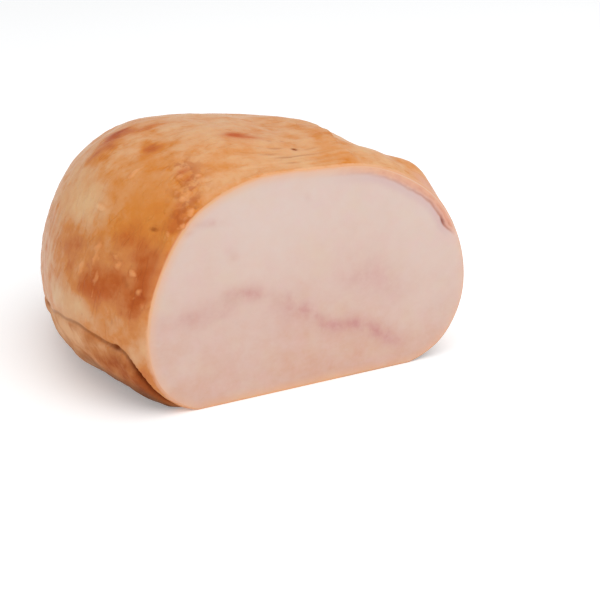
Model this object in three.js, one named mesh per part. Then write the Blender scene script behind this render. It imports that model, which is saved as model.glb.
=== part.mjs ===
// A cooked turkey breast: a whole breast roasted with its skin on, with its front end sliced off flat.
// Units are millimetres and +Z is up. The cut face looks along -Y and the rounded end points to +Y.
// The origin is on the table, under the middle of the part's box.

import * as THREE from 'three';
import { ParametricGeometry } from 'three/addons/geometries/ParametricGeometry.js';
import { mergeVertices } from 'three/addons/utils/BufferGeometryUtils.js';

// Driving dimensions of the body.
const CUT_WIDTH = 180;
const CUT_HEIGHT = 114.5;
const BODY_LENGTH = 180;
const BACK_TIP_HEIGHT = 35;

// The body leans to its left as it runs back, and swells behind the cut before it closes. Each swell
// is the share by which the left, the right or the top grows at its widest, a third of the way back.
const LEAN_PER_LENGTH = 0.139;
const LEFT_SWELL = 0.196;
const RIGHT_SWELL = -0.057;
const TOP_SWELL = 0.176;
const SWELL_SCALE = 6.75;

// How squarely the sides, the top and the underside close at the rounded end. A larger number keeps
// the full size for longer and then closes faster.
const SIDE_FULLNESS = 2.69;
const TOP_FULLNESS = 4.17;
const UNDERSIDE_FULLNESS = 3.33;

// The section turns slowly from the outline of the cut into an oval, and the soft meat settles on the
// table: it spreads flat there within a short distance of the cut.
const OVAL_SHARE = 0.106;
const SETTLING = 2.15;
const SETTLING_REACH = 12;

// The outline of the cut face, seen from the front: across from its middle, and up from the table.
const CUT_OUTLINE = [
  [0, 0],
  [34, 0],
  [57, 0],
  [77, 10],
  [88.5, 32],
  [86.5, 61],
  [70, 90],
  [38, 109.5],
  [0, CUT_HEIGHT],
  [-38, 113.5],
  [-67, 100],
  [-84, 73],
  [-CUT_WIDTH / 2, 42],
  [-83, 15],
  [-64, 0],
  [-32, 0],
];

// Swellings of the skin side, and hollows where the height is negative. "around" is the share of the
// way round the body from the middle of the underside, up the right side, over the top and down the
// left side. "back" is the distance behind the cut. "spread" and "run" are how far the swelling
// reaches round the body and along it.
const SWELLINGS = [
  { name: 'shoulder behind the cut', height: 8.1, around: 0.346, back: 16, spread: 17, run: 16 },
  { name: 'dip behind the shoulder', height: -1.4, around: 0.378, back: 39, spread: 17, run: 11 },
  { name: 'flatter crown', height: -5.2, around: 0.468, back: 48, spread: 18, run: 34 },
  { name: 'pulled-in left flank', height: -2.9, around: 0.828, back: 42, spread: 17, run: 22 },
  { name: 'roll under the left rim', height: 1.8, around: 0.841, back: 20, spread: 13, run: 14 },
];
const LENGTH_AROUND = 480;
const RIM_FADE = 5;

// Folds of the skin. Each lists points as around, back and depth. The side to the left of the
// direction of travel, seen from outside, is the upper one: it stands over the fold as a soft lip.
const SKIN_HEM = {
  width: 3.2,
  lip: 0.35,
  lipWidth: 6,
  points: [
    [0.245, 12, 0],
    [0.24, 30, 0.8],
    [0.235, 60, 1.4],
    [0.228, 100, 1.6],
    [0.232, 135, 1.8],
    [0.24, 160, 1.4],
    [0.25, 176, 0.6],
    [0.75, 176, 0.6],
    [0.755, 160, 1.4],
    [0.765, 135, 1.8],
    [0.77, 100, 1.6],
    [0.768, 67, 1.7],
    [0.764, 45, 1.9],
    [0.767, 28, 2.1],
    [0.773, 14, 2.9],
    [0.786, 8.5, 2.7],
    [0.804, 5.4, 3.2],
    [0.822, 3.4, 3.2],
    [0.845, 3, 2],
    [0.868, 6, 0],
  ],
};
const CROWN_FLAP = {
  width: 3.5,
  lip: 0.6,
  lipWidth: 8,
  points: [
    [0.446, 1, 0.4],
    [0.442, 6, 1.1],
    [0.437, 14, 1.5],
    [0.427, 27, 1.7],
    [0.414, 40, 1.5],
    [0.405, 56, 1],
    [0.4, 74, 0],
  ],
};
const FOLDS = [SKIN_HEM, CROWN_FLAP];
const SAMPLES_PER_FOLD_POINT = 10;

// Slow waves over the whole skin, each with its height, its wavelength and the way it runs.
const WAVES = [
  { height: 0.8, length: 74, toward: [0.8, 0.36, 0.48], phase: 0.4 },
  { height: 0.6, length: 52, toward: [-0.35, 0.78, 0.52], phase: 2.1 },
  { height: 0.5, length: 43, toward: [0.55, -0.62, 0.56], phase: 4.4 },
  { height: 0.35, length: 33, toward: [-0.72, -0.25, 0.65], phase: 1.3 },
];
const WAVE_LOW = 4;
const WAVE_HIGH = 18;

// On the cut face a thin outer layer of meat is parted from the rest by a seam. The seam follows the
// rim between two places round the body, and a small hole opens in it.
const SEAM_START = 0.26;
const SEAM_END = 0.49;
const SEAM_INSET = 4.5;
const SEAM_EXTRA_INSET = 4;
const SEAM_HALF_WIDTH = 1.4;
const SEAM_DEPTH = 1.5;
const HOLE = { around: 0.297, spread: 4, depth: 3 };

// How finely the skin is divided round the body and along it. Columns stand closer together at the
// skin's hem on the left, and rows stand closer together behind the cut.
const COLUMNS = 112;
const COLUMN_CROWDING = 0.4;
const CROWDED_AROUND = 0.8;
const SKIN_ROWS = 32;
const ROW_CROWDING = 1.5;
const FACE_MIDDLE = [0, 54];

const SKIN_COLOUR = 0xc98a54;

const cutOutline = new THREE.CatmullRomCurve3(
  CUT_OUTLINE.map(([across, up]) => new THREE.Vector3(across, 0, up)),
  true,
  'centripetal',
);
cutOutline.arcLengthDivisions = 2000;

const oval = new THREE.EllipseCurve(
  0,
  CUT_HEIGHT / 2,
  CUT_WIDTH / 2,
  CUT_HEIGHT / 2,
  -Math.PI / 2,
  (3 * Math.PI) / 2,
);
oval.arcLengthDivisions = 2000;

const wrapped = (around) => around - Math.floor(around);
const shortestTurn = (around) => around - Math.round(around);
const bell = (distance, reach) => Math.exp(-((distance / reach) ** 2));
const closing = (share, fullness) => Math.max(0, 1 - share ** fullness) ** (1 / fullness);

// The plain body, without relief.
function plainPoint(around, back) {
  const share = back / BODY_LENGTH;
  const swell = SWELL_SCALE * share * (1 - share) ** 2;
  const onCut = cutOutline.getPointAt(wrapped(around));
  const onOval = oval.getPointAt(wrapped(around));
  let across = THREE.MathUtils.lerp(onCut.x, onOval.x, OVAL_SHARE * share);
  let up = THREE.MathUtils.lerp(onCut.z, onOval.y, OVAL_SHARE * share);
  const sideSwell = across < 0 ? LEFT_SWELL : RIGHT_SWELL;
  across *= (1 + sideSwell * swell) * closing(share, SIDE_FULLNESS);
  across -= LEAN_PER_LENGTH * back;
  if (up > BACK_TIP_HEIGHT) {
    const rise = (up - BACK_TIP_HEIGHT) * closing(share, TOP_FULLNESS);
    up = BACK_TIP_HEIGHT + rise * (1 + TOP_SWELL * swell);
  } else {
    up = BACK_TIP_HEIGHT - (BACK_TIP_HEIGHT - up) * closing(share, UNDERSIDE_FULLNESS);
  }
  return new THREE.Vector3(across, back, up);
}

// The outward normal of the plain body, from two short steps over its surface.
function plainNormal(around, back) {
  const step = 0.004;
  const behind = Math.min(back, BODY_LENGTH * 0.995);
  const alongRound = plainPoint(around + step, behind).sub(plainPoint(around - step, behind));
  const nearer = plainPoint(around, Math.max(0, behind - 1));
  const alongBack = plainPoint(around, Math.min(BODY_LENGTH, behind + 1)).sub(nearer);
  const normal = alongBack.cross(alongRound).normalize();
  return back > BODY_LENGTH * 0.999 ? new THREE.Vector3(0, 1, 0) : normal;
}

function swellingHeight(around, back) {
  let height = 0;
  for (const swelling of SWELLINGS) {
    const turned = shortestTurn(around - swelling.around) * LENGTH_AROUND;
    height += swelling.height * bell(turned, swelling.spread) * bell(back - swelling.back, swelling.run);
  }
  return height;
}

// Samples along a fold: where it lies on the plain body, which way it runs and how deep it is.
function traceFold(fold) {
  const spots = fold.points.map(([around, back]) => plainPoint(around, back));
  const route = new THREE.CatmullRomCurve3(spots, false, 'centripetal');
  const steps = (spots.length - 1) * SAMPLES_PER_FOLD_POINT;
  const samples = [];
  for (let step = 0; step <= steps; step++) {
    const place = step / SAMPLES_PER_FOLD_POINT;
    const before = Math.min(Math.floor(place), spots.length - 2);
    const depths = [fold.points[before][2], fold.points[before + 1][2]];
    samples.push({
      spot: route.getPoint(step / steps),
      heading: route.getTangent(step / steps),
      depth: THREE.MathUtils.lerp(depths[0], depths[1], place - before),
    });
  }
  return { ...fold, samples };
}
const tracedFolds = FOLDS.map(traceFold);

// A fold is a valley with a soft lip on its upper side.
function foldHeight(spot, normal) {
  let height = 0;
  for (const fold of tracedFolds) {
    let nearest = fold.samples[0];
    let distance = Infinity;
    for (const sample of fold.samples) {
      const apart = sample.spot.distanceTo(spot);
      if (apart < distance) {
        nearest = sample;
        distance = apart;
      }
    }
    const upperSide = normal.clone().cross(nearest.heading);
    const offset = spot.clone().sub(nearest.spot).dot(upperSide);
    height -= nearest.depth * bell(distance, fold.width);
    if (offset > 0) {
      height += nearest.depth * fold.lip * bell(distance - fold.lipWidth, fold.lipWidth / 2);
    }
  }
  return height;
}

function waveHeight(spot) {
  let height = 0;
  for (const wave of WAVES) {
    const along = spot.dot(new THREE.Vector3(...wave.toward));
    height += wave.height * Math.sin((2 * Math.PI * along) / wave.length + wave.phase);
  }
  return height * THREE.MathUtils.smoothstep(spot.z, WAVE_LOW, WAVE_HIGH);
}

// A point of the skin, with its relief, settled on the table.
function skinPoint(around, back, target) {
  const spot = plainPoint(around, back);
  const normal = plainNormal(around, back);
  const behindRim = 1 - Math.exp(-back / RIM_FADE);
  const relief = (swellingHeight(around, back) + waveHeight(spot)) * behindRim;
  const creases = foldHeight(spot, normal) * (1 - Math.exp(-back));
  target.copy(spot).addScaledVector(normal, relief + creases);
  if (back === 0) {
    target.y = 0;
  }
  const settled = SETTLING * (1 - Math.exp(-back / SETTLING_REACH));
  target.z = Math.max(target.z - settled, 0);
  return target;
}

// Where the seam runs, 1 in the middle of its course and 0 at its two ends.
function seamCourse(around) {
  const share = (wrapped(around) - SEAM_START) / (SEAM_END - SEAM_START);
  return share > 0 && share < 1 ? Math.sin(Math.PI * share) : 0;
}

function rimInset(around, inset) {
  const place = wrapped(around);
  const spot = cutOutline.getPointAt(place);
  const heading = cutOutline.getTangentAt(place);
  return new THREE.Vector3(spot.x - heading.z * inset, 0, spot.z + heading.x * inset);
}

// The cut face is made of rings. A ring is its inset from the rim, in seam half widths either side of
// the seam, or a share of the way from the innermost of those to the middle.
const FACE_RINGS = [
  { toMiddle: 1 },
  { toMiddle: 0.66 },
  { toMiddle: 0.33 },
  { toMiddle: 0, besideSeam: 1 },
  { toMiddle: 0, besideSeam: 0 },
  { toMiddle: 0, besideSeam: -1 },
];

function facePoint(around, ring, target) {
  const course = seamCourse(around);
  const beside = ring.besideSeam ?? 1;
  const inset = SEAM_INSET + SEAM_EXTRA_INSET * course + beside * SEAM_HALF_WIDTH;
  target.copy(rimInset(around, inset));
  if (beside === 0) {
    const toHole = shortestTurn(around - HOLE.around) * LENGTH_AROUND;
    target.y = SEAM_DEPTH * Math.min(1, 2 * course) + HOLE.depth * bell(toHole, HOLE.spread);
  }
  const [middleAcross, middleUp] = FACE_MIDDLE;
  target.x = THREE.MathUtils.lerp(target.x, middleAcross, ring.toMiddle);
  target.z = THREE.MathUtils.lerp(target.z, middleUp, ring.toMiddle);
  target.y *= 1 - ring.toMiddle;
  return target;
}

// The whole surface as one sheet: the rows run from the middle of the cut face out to the rim, and
// then along the skin to the tip at the back.
const ROWS = FACE_RINGS.length + SKIN_ROWS;

function columnAround(column) {
  const around = 1 - column;
  const turn = 2 * Math.PI * (around - CROWDED_AROUND);
  return around - (COLUMN_CROWDING * Math.sin(turn)) / (2 * Math.PI);
}

function surfacePoint(column, row, target) {
  const around = columnAround(column);
  const rowNumber = Math.round(row * ROWS);
  if (rowNumber < FACE_RINGS.length) {
    facePoint(around, FACE_RINGS[rowNumber], target);
    return;
  }
  const share = (rowNumber - FACE_RINGS.length) / SKIN_ROWS;
  const back = BODY_LENGTH * Math.sin((Math.PI / 2) * share ** ROW_CROWDING);
  skinPoint(around, back, target);
}

// Drops the triangles that have no area, at the middle of the face and at the tip.
function withoutSlivers(geometry) {
  const corners = geometry.index.array;
  const kept = [];
  for (let corner = 0; corner < corners.length; corner += 3) {
    const [a, b, c] = corners.subarray(corner, corner + 3);
    if (a !== b && b !== c && c !== a) {
      kept.push(a, b, c);
    }
  }
  geometry.setIndex(kept);
  return geometry;
}

function breastGeometry() {
  const sheet = new ParametricGeometry(surfacePoint, COLUMNS, ROWS);
  sheet.deleteAttribute('normal');
  sheet.deleteAttribute('uv');
  const geometry = withoutSlivers(mergeVertices(sheet, 1e-3));
  geometry.computeBoundingBox();
  const middle = geometry.boundingBox.getCenter(new THREE.Vector3());
  geometry.translate(-middle.x, -middle.y, 0);
  geometry.computeVertexNormals();
  return geometry;
}

const skin = new THREE.MeshStandardMaterial({ color: SKIN_COLOUR, roughness: 0.5, metalness: 0 });
const breast = new THREE.Mesh(breastGeometry(), skin);
breast.name = 'turkey_breast';

const part = new THREE.Group();
part.add(breast);

export default part;
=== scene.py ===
# %% [markdown]
# # A cooked turkey breast, sliced open at one end
#
# This lesson dresses one piece of food: a large boneless turkey breast, roasted with its skin on
# and then sliced off flat at its front end. It is one soft lump with two surfaces, the browned
# skin and the pale meat of the cut, so it is made as one closed mesh with two materials.
#
# The frame holds the breast as a plain solid. It gives the place and the true size, and
# everything made here fits on it.

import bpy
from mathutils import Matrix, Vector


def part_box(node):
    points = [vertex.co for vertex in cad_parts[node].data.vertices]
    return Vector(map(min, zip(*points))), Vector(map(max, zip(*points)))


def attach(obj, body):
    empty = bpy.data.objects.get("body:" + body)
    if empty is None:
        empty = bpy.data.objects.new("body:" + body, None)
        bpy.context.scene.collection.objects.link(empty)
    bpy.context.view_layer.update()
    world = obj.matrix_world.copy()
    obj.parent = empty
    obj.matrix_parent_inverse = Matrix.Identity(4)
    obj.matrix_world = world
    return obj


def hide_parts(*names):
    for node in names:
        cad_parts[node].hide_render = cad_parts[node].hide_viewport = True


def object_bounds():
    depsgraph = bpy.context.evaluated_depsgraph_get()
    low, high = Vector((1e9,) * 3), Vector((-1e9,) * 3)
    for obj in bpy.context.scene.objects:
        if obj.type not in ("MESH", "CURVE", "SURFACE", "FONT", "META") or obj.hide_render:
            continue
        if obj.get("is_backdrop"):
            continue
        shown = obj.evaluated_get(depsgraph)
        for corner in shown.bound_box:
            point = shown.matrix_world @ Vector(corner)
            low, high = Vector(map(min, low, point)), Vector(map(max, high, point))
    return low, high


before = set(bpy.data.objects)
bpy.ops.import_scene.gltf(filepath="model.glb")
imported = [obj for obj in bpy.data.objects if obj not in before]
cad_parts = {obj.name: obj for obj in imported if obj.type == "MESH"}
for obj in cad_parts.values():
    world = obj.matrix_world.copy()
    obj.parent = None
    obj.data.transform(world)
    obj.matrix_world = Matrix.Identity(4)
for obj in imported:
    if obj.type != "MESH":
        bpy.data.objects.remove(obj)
frame_box = [list(corner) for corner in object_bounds()]

import math

import bpy
import numpy as np
from mathutils import Vector

low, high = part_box("turkey_breast")
print("frame box in mm:", [round((b - a) * 1000, 1) for a, b in zip(low, high)])

# %% [markdown]
# ## The body's own measures
#
# A breast this size is about 180 mm across its cut and as long again. Everything is worked out in
# millimetres in the body's own frame, because numbers like 3.2 are easier to judge than 0.0032:
# x runs to the right across the cut, y back from the cut and z up from the table. Only the
# finished points are turned into metres.

# %% Driving sizes, in millimetres
MM = 0.001
CUT_WIDTH = 180.0
CUT_HEIGHT = 114.5
BODY_LENGTH = 180.0
BACK_TIP_HEIGHT = 35.0

LEAN_PER_LENGTH = 0.139
LEFT_SWELL = 0.196
RIGHT_SWELL = -0.057
TOP_SWELL = 0.176
SWELL_SCALE = 6.75
SIDE_FULLNESS = 2.69
TOP_FULLNESS = 4.17
UNDERSIDE_FULLNESS = 3.33
OVAL_SHARE = 0.106

SETTLING = 2.15
SETTLING_REACH = 12.0

MIDDLE_OF_BOX_LEFT_OF_CUT = 12.85
body_to_part = np.array([MIDDLE_OF_BOX_LEFT_OF_CUT * MM, low[1], 0.0])
print("the cut lies at y =", round(low[1] * 1000, 1), "mm")

# %% [markdown]
# ## The outline of the cut
#
# Seen from the front the cut is a lopsided loaf: flat where it lies on the table, full on the
# left, with its highest point left of the middle. Sixteen points describe it, and a smooth curve
# runs through them. A centripetal curve is used because it never loops or overshoots between
# points that stand at uneven distances.

# %% A smooth curve through points
CUT_OUTLINE = [
    (0, 0), (34, 0), (57, 0), (77, 10), (88.5, 32), (86.5, 61), (70, 90), (38, 109.5),
    (0, CUT_HEIGHT), (-38, 113.5), (-67, 100), (-84, 73), (-CUT_WIDTH / 2, 42), (-83, 15),
    (-64, 0), (-32, 0),
]


def smooth_curve(points, closed, steps):
    """Points along a centripetal Catmull-Rom curve, with so many steps to each span."""
    points = np.asarray(points, float)
    if closed:
        padded = np.concatenate([points[-1:], points, points[:2]])
    else:
        before = 2 * points[0] - points[1]
        after = 2 * points[-1] - points[-2]
        padded = np.concatenate([[before], points, [after]])
    share = (np.arange(steps) / steps)[:, None]
    spans = []
    for a, b, c, d in zip(padded, padded[1:], padded[2:], padded[3:]):
        gap_ab, gap_bc, gap_cd = (math.sqrt(np.linalg.norm(q - p)) for p, q in ((a, b), (b, c), (c, d)))
        leave = (b - a) / gap_ab - (c - a) / (gap_ab + gap_bc) + (c - b) / gap_bc
        reach = (c - b) / gap_bc - (d - b) / (gap_bc + gap_cd) + (d - c) / gap_cd
        leave, reach = leave * gap_bc, reach * gap_bc
        bend = 3 * (c - b) - 2 * leave - reach
        twist = 2 * (b - c) + leave + reach
        spans.append(b + leave * share + bend * share**2 + twist * share**3)
    return np.concatenate(spans + [padded[-2:-1]])


class Loop:
    """A closed curve that is read by the share of its length, from the middle of the underside."""

    def __init__(self, points):
        self.points = points
        steps = np.linalg.norm(np.diff(points, axis=0), axis=1)
        self.place = np.concatenate([[0], np.cumsum(steps)])
        self.length = self.place[-1]

    def at(self, around):
        place = np.mod(around, 1) * self.length
        return tuple(np.interp(place, self.place, self.points[:, k]) for k in range(2))

    def heading(self, around):
        step = 0.001
        ahead, behind = self.at(around + step), self.at(around - step)
        run = [a - b for a, b in zip(ahead, behind)]
        size = np.hypot(*run)
        return run[0] / size, run[1] / size


turns = np.linspace(0, 2 * math.pi, 2001)
cut_loop = Loop(smooth_curve(CUT_OUTLINE, True, 125))
oval_loop = Loop(np.stack([
    CUT_WIDTH / 2 * np.sin(turns),
    CUT_HEIGHT / 2 * (1 - np.cos(turns)),
], axis=1))
print("the cut's rim is", round(cut_loop.length), "mm round")

# %% [markdown]
# ## The plain body
#
# Behind the cut the loaf leans to its left and swells, and then it closes to a blunt rounded end.
# Two numbers name any place on the skin: `around`, the share of the way round from the middle
# of the underside, up the right side and over the top, and `back`, the distance behind the cut.
# One function turns them into a point, so the whole body is one sheet of rows and columns.

# %% Points and outward directions of the plain body


def bell(distance, reach):
    return np.exp(-((distance / reach) ** 2))


def rise(value, start, end):
    share = np.clip((value - start) / (end - start), 0, 1)
    return share * share * (3 - 2 * share)


def closing(share, fullness):
    return np.maximum(0, 1 - share**fullness) ** (1 / fullness)


def plain_body(around, back):
    share = back / BODY_LENGTH
    swell = SWELL_SCALE * share * (1 - share) ** 2
    cut_across, cut_up = cut_loop.at(around)
    oval_across, oval_up = oval_loop.at(around)
    across = cut_across + (oval_across - cut_across) * OVAL_SHARE * share
    up = cut_up + (oval_up - cut_up) * OVAL_SHARE * share
    across = across * (1 + np.where(across < 0, LEFT_SWELL, RIGHT_SWELL) * swell)
    across = across * closing(share, SIDE_FULLNESS) - LEAN_PER_LENGTH * back
    above = (up - BACK_TIP_HEIGHT) * closing(share, TOP_FULLNESS) * (1 + TOP_SWELL * swell)
    below = (up - BACK_TIP_HEIGHT) * closing(share, UNDERSIDE_FULLNESS)
    up = BACK_TIP_HEIGHT + np.where(up > BACK_TIP_HEIGHT, above, below)
    return np.stack([across, back, up], axis=-1)


def unit(vectors):
    return vectors / np.maximum(np.linalg.norm(vectors, axis=-1, keepdims=True), 1e-9)


def outward(around, back):
    behind = np.minimum(back, BODY_LENGTH * 0.995)
    along_round = plain_body(around + 0.004, behind) - plain_body(around - 0.004, behind)
    nearer, further = np.maximum(behind - 1, 0), np.minimum(behind + 1, BODY_LENGTH)
    along_back = plain_body(around, further) - plain_body(around, nearer)
    normals = unit(np.cross(along_back, along_round))
    normals[back > BODY_LENGTH * 0.999] = (0, 1, 0)
    return normals


# %% [markdown]
# ## Rows and columns
#
# The skin needs about one point to a square millimetre, because its creases are only a few
# millimetres wide. Columns stand closer together on the left, where the skin's hem runs down to
# the cut, and the rows start with a small rounding: a knife leaves a crisp edge on soft meat,
# but never a perfectly sharp one.

# %% The grid of the skin
COLUMNS = 440
COLUMN_CROWDING = 0.4
CROWDED_AROUND = 0.8
SKIN_ROWS = 165
ROW_CROWDING = 1.3
RIM_ROUNDING = 0.7
LEFT_RIM_ROUNDING = 1.9
LEFT_RIM_AROUND = 0.66
LEFT_RIM_SPREAD = 45.0
LENGTH_AROUND = 480.0
RIM_ROWS = 6


def shortest_turn(value):
    return value - np.round(value)


spread_columns = np.arange(COLUMNS) / COLUMNS
turn = 2 * math.pi * (spread_columns - CROWDED_AROUND)
column_around = spread_columns - COLUMN_CROWDING * np.sin(turn) / (2 * math.pi)

from_left_rim = shortest_turn(column_around - LEFT_RIM_AROUND) * LENGTH_AROUND
rounding_here = RIM_ROUNDING + (LEFT_RIM_ROUNDING - RIM_ROUNDING) * bell(from_left_rim, LEFT_RIM_SPREAD)
rim_share = 1 - np.cos(np.linspace(0, math.pi / 2, RIM_ROWS))
row_share = np.arange(2, SKIN_ROWS) / SKIN_ROWS
long_back = BODY_LENGTH * np.sin(math.pi / 2 * row_share**ROW_CROWDING)
back = np.concatenate([
    rim_share[:, None] * rounding_here,
    np.hypot(long_back[:, None], rounding_here),
])
back = np.minimum(back, BODY_LENGTH * 0.9999)
around = np.broadcast_to(column_around, back.shape)
print("skin:", len(back), "rows of", COLUMNS)

# %% [markdown]
# ## Swellings, waves and folds
#
# The big relief comes from three rules. Soft bells raise the shoulder behind the cut and sink the
# hollows. Four slow waves make the rest uneven. And the skin has two folds: its hem, where the
# skin ends on the sides and laps over the darker meat of the underside, and a flap of skin that
# was drawn over the crown. The hem is a narrow crease with a soft roll of meat just below it, and
# the flap is a low step.

# %% Swellings and waves
RIM_FADE = 5.0
SWELLINGS = {
    # name: height, around, back, spread, run
    "shoulder behind the cut": (7.4, 0.346, 16, 17, 16),
    "dip on the shoulder": (-1.8, 0.373, 17, 7, 12),
    "dip behind the shoulder": (-1.4, 0.378, 39, 17, 11),
    "flatter crown": (-5.2, 0.468, 48, 18, 34),
    "low back of the crown": (-1.7, 0.49, 110, 30, 30),
    "full left of the crown": (2.0, 0.565, 120, 15, 25),
    "flatter top of the flank": (-1.6, 0.65, 112, 20, 25),
    "pulled-in left flank": (-2.9, 0.828, 42, 17, 22),
    "pulled-in underside": (-2.4, 0.808, 64, 15, 22),
    "soft place under the rim": (-0.8, 0.836, 18, 13, 14),
    "low top of the crown": (-1.5, 0.452, 89, 15, 12),
    "low crown by the flap": (-1.6, 0.418, 51, 9, 9),
    "low right of the flap": (-1.1, 0.403, 31, 9, 8),
    "kink over the hem": (-1.6, 0.785, 88, 8, 12),
    "bump of the underside": (1.5, 0.823, 56, 10, 9),
    "low belly of the roll": (1.6, 0.846, 15, 8, 7),
}
WAVES = [
    # height, length, toward, phase
    (0.7, 74, (0.8, 0.36, 0.48), 0.4),
    (0.45, 52, (-0.35, 0.78, 0.52), 2.1),
    (0.35, 43, (0.55, -0.62, 0.56), 4.4),
    (0.25, 33, (-0.72, -0.25, 0.65), 1.3),
]


def swelling_height(around, back):
    total = 0
    for height, where, behind, spread, run in SWELLINGS.values():
        turned = shortest_turn(around - where) * LENGTH_AROUND
        total = total + height * bell(turned, spread) * bell(back - behind, run)
    return total


def wave_height(points):
    total = 0
    for height, length, toward, phase in WAVES:
        total = total + height * np.sin(2 * math.pi * (points @ np.array(toward)) / length + phase)
    return total * rise(points[..., 2], 4, 18)


# %% Following a line on the skin


class Track:
    """A line drawn on the body: how far points are from it, on which side, and how strong it is."""

    def __init__(self, marks, strengths, steps=40):
        self.line = smooth_curve(marks, False, steps)
        self.strength = np.interp(
            np.arange(len(self.line)) / steps, np.arange(len(strengths)), strengths)
        self.heading = unit(np.gradient(self.line, axis=0))

    def nearest(self, points, batch=4000):
        squares = (self.line**2).sum(1)
        found = []
        for start in range(0, len(points), batch):
            part = points[start:start + batch]
            found.append(np.argmin(squares - 2 * part @ self.line.T, axis=1))
        return np.concatenate(found)

    def read(self, points, normals):
        index = self.nearest(points)
        apart = points - self.line[index]
        side = (apart * np.cross(normals, self.heading[index])).sum(1)
        return np.linalg.norm(apart, axis=1), side, self.strength[index]


HEM = [
    # around, back, depth
    (0.25, 10, 0), (0.243, 30, 0.7), (0.239, 46, 1.1), (0.244, 55, 1.2), (0.234, 68, 1.4),
    (0.227, 92, 1.6), (0.231, 112, 1.2), (0.225, 121, 1.6), (0.229, 142, 1.5), (0.24, 158, 1.2),
    (0.244, 170, 0.9), (0.26, 177, 0.4), (0.755, 177, 0.4), (0.77, 170, 0.8), (0.772, 160, 1.1),
    (0.779, 147, 1.2), (0.777, 132, 1), (0.786, 116, 1.1), (0.785, 96, 0.7), (0.774, 72, 0.4),
    (0.7655, 57, 0.35), (0.7645, 48.6, 0.45), (0.763, 37.4, 0.6), (0.7672, 29.4, 0.7),
    (0.7705, 23, 0.8), (0.7735, 18.2, 0.9), (0.7757, 14.9, 1.5), (0.7772, 12.4, 1),
    (0.7797, 10.6, 1), (0.7845, 9.2, 1.2), (0.7925, 7.9, 1.8), (0.802, 6.2, 2.4),
    (0.81, 5.2, 2.8), (0.82, 4.5, 2.8), (0.831, 4, 2.6), (0.8442, 4, 1.8),
    (0.858, 5, 0.6), (0.868, 6.5, 0),
]
CROWN_FLAP = [
    (0.438, 1, 0.4), (0.4375, 5, 0.9), (0.437, 14, 1.5), (0.431, 27, 2), (0.417, 40, 1.7),
    (0.405, 56, 1), (0.4, 74, 0),
]


def skin_track(marks):
    marks = np.array(marks, float)
    return Track(plain_body(marks[:, 0], marks[:, 1]), marks[:, 2])


hem, crown_flap = skin_track(HEM), skin_track(CROWN_FLAP)
print("the hem is", round(np.linalg.norm(np.diff(hem.line, axis=0), axis=1).sum()), "mm long")

# %% The relief of the folds
CREASE_WIDTH = 0.9
plain = plain_body(around, back).reshape(-1, 3)
normals = outward(around, back).reshape(-1, 3)

HEM_ROLL = 1.1
HEM_ROLL_BELOW = 3.4
HEM_ROLL_REACH = 4.0
hem_distance, hem_side, hem_depth = hem.read(plain, normals)
hem_roll = HEM_ROLL * bell(hem_distance - HEM_ROLL_BELOW, HEM_ROLL_REACH) * rise(-hem_side, 0, 2)
hem_relief = hem_depth.clip(0, 1) * hem_roll - hem_depth * bell(hem_distance, CREASE_WIDTH)

FLAP_REACH = 14.0
flap_distance, flap_side, flap_depth = crown_flap.read(plain, normals)
over_flap = rise(flap_side, -0.6, 0.6)
flap_relief = flap_depth * over_flap * bell(flap_distance, FLAP_REACH)
print("the flap stands up", round(flap_relief.max(), 1), "mm")

# %% Put the skin's points where they belong
flat_around, flat_back = around.ravel(), back.ravel()
soft = (swelling_height(flat_around, flat_back) + wave_height(plain)) * (1 - np.exp(-flat_back / RIM_FADE))
creased = (hem_relief + flap_relief) * (1 - np.exp(-flat_back))
skin = plain + normals * (soft + creased)[:, None]

rounding = np.tile(rounding_here, len(back))
on_rim = flat_back < rounding
short_of_round = 1 - np.clip(flat_back / rounding, 0, 1)
inset = rounding * (1 - np.sqrt(1 - short_of_round**2))
heading_across, heading_up = cut_loop.heading(flat_around)
skin[:, 0] -= heading_up * inset
skin[:, 2] += heading_across * inset
skin[:, 1] = np.where(on_rim, flat_back, skin[:, 1])
settled = SETTLING * (1 - np.exp(-flat_back / SETTLING_REACH))
skin[:, 2] = np.maximum(skin[:, 2] - settled, np.where(on_rim, inset * heading_across.clip(0, 1), 0))
print("highest point of the skin:", round(skin[:, 2].max(), 1), "mm")

# %% [markdown]
# ## The cut face
#
# The face is filled with rings that step in from the rim. On the upper right a thin outer layer of
# meat has come away from the rest, so a fine seam follows the rim there, and at one place it
# opens into a small hole. The rings follow that seam on both sides, so the groove needs no cutting.

# %% Rings of the cut face
SEAM_START = 0.283
SEAM_END = 0.5
SEAM_INSET = 4.9
SEAM_RUNS_OUT = 3.4
SEAM_WANDER = 0.4
SEAM_WIDTH = 0.7
SEAM_DEPTH = 0.4
SEAM_OPEN_REACH = 30.0
HOLE_AROUND = 0.309
HOLE_LENGTH = 2.2
HOLE_WIDTH = 0.8
HOLE_DEPTH = 0.6
FACE_MIDDLE = (0, 54)
FAR_INSIDE = 100.0
RIM_LINE_INSIDE = 0.9
RIM_LINE_LEFT = 1.5
SKIN_IS_THIN = [
    # around, spread, how much less of its edge shows
    (0.25, 72, 0.85), (0.83, 34, 0.6),
]
INNER_BAND = 7.0

outer_rings = np.array([0.12, 0.26, 0.42, 0.58, 0.72, 0.84, 0.93])
seam_rings = np.array([0.0, 0.07, 0.16, 0.28, 0.45, 0.7, 1.0])
middle_rings = 1 - np.linspace(1, 0, 19)[1:-1] ** 1.15


def seam_course(around):
    """1 on the upper right, fading slowly to the seam's left end and fast to its lower end."""
    place = np.mod(around, 1)
    return rise(place, SEAM_START, 0.3) * (1 - rise(place, 0.4, SEAM_END))


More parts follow.
